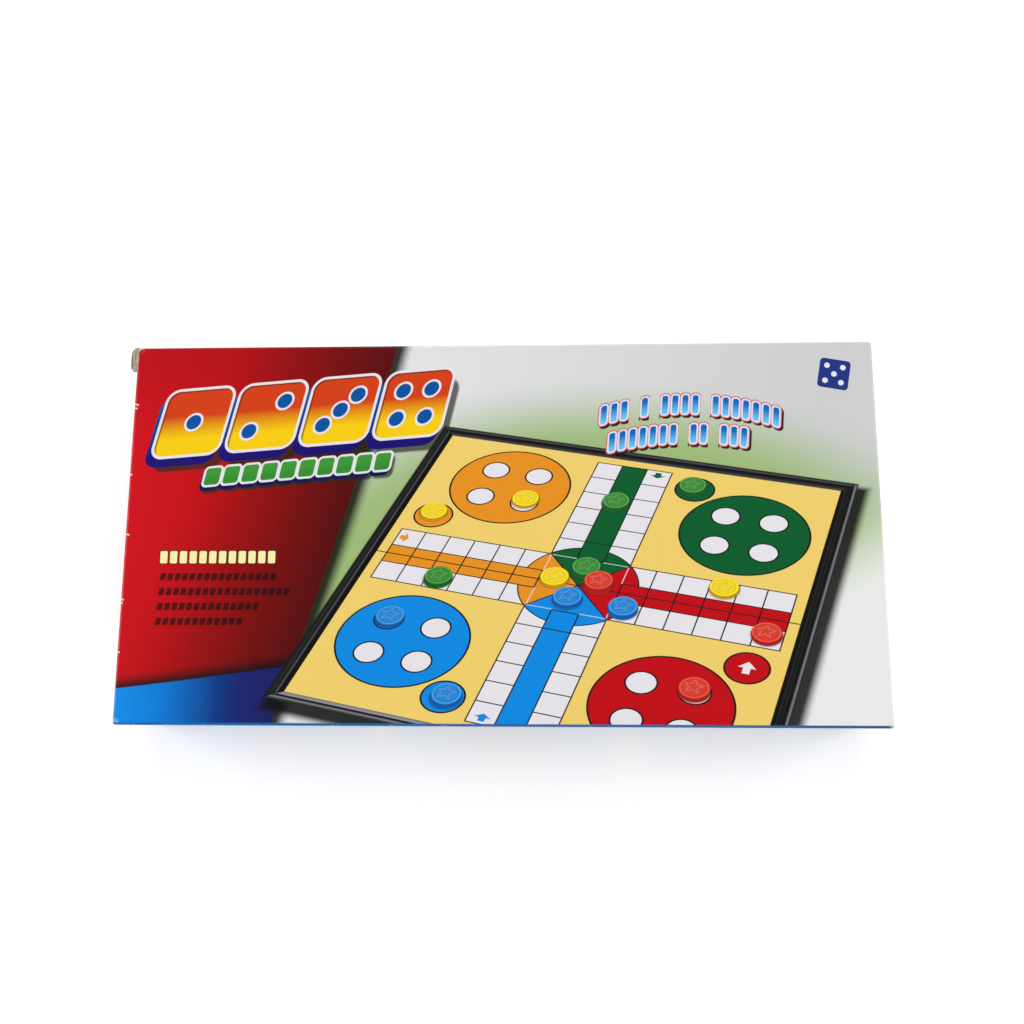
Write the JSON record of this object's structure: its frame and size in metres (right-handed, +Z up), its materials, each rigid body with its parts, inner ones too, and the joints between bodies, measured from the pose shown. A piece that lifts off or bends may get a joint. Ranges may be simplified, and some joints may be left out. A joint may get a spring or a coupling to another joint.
{
  "type": "folding ludo board box",
  "caption": "Flat printed box in two hinged halves that unfolds into a square framed ludo board with magnetic discs, a die and a swinging latch.",
  "frame": {"origin": "centre of the face that the closed box rests on", "axes": "+X along the box to the right as the printed face is read, +Y from the latch to the hinges, +Z up out of the printed face, lid closed"},
  "size_m": [0.2574, 0.1328, 0.034],
  "materials": {
    "printed_card": "glossy laminated print on card",
    "black_plastic": "satin moulded, fine grain",
    "printed_field": "satin printed label",
    "steel_plate": "rolled sheet",
    "steel_pin": "drawn wire",
    "magnet": "sintered ferrite",
    "blue_plastic": "glossy moulded",
    "red_plastic": "glossy moulded",
    "green_plastic": "glossy moulded",
    "yellow_plastic": "glossy moulded",
    "die_plastic": "polished moulded"
  },
  "bodies": {
    "base": {"base_shell": "black_plastic", "base_ribs": "black_plastic", "base_catch": "black_plastic", "base_bezel": "black_plastic", "base_plate": "steel_plate", "base_label": "printed_field", "base_cover": "printed_card", "base_screws": "steel_pin", "hinge_pins": "steel_pin", "blue_discs": "blue_plastic", "red_discs": "red_plastic", "green_disc_base": "green_plastic", "base_magnets": "magnet", "die": "die_plastic"},
    "lid": {"lid_shell": "black_plastic", "lid_ribs": "black_plastic", "lid_bezel": "black_plastic", "lid_plate": "steel_plate", "lid_label": "printed_field", "lid_cover": "printed_card", "lid_screws": "steel_pin", "yellow_discs": "yellow_plastic", "green_discs_lid": "green_plastic", "lid_magnets": "magnet", "latch_pin": "steel_pin"},
    "latch": {"latch_lever": "black_plastic"}
  },
  "joints": [
    {"name": "lid_fold", "type": "hinge", "parent": "base", "child": "lid", "pos_m": [0, 0.0654, 0.017], "axis": [-1, 0, 0], "range_deg": [0, 180]},
    {"name": "latch_swing", "type": "hinge", "parent": "lid", "child": "latch", "pos_m": [0, -0.06295, 0.0255], "axis": [-1, 0, 0], "range_deg": [0, 75]}
  ]
}
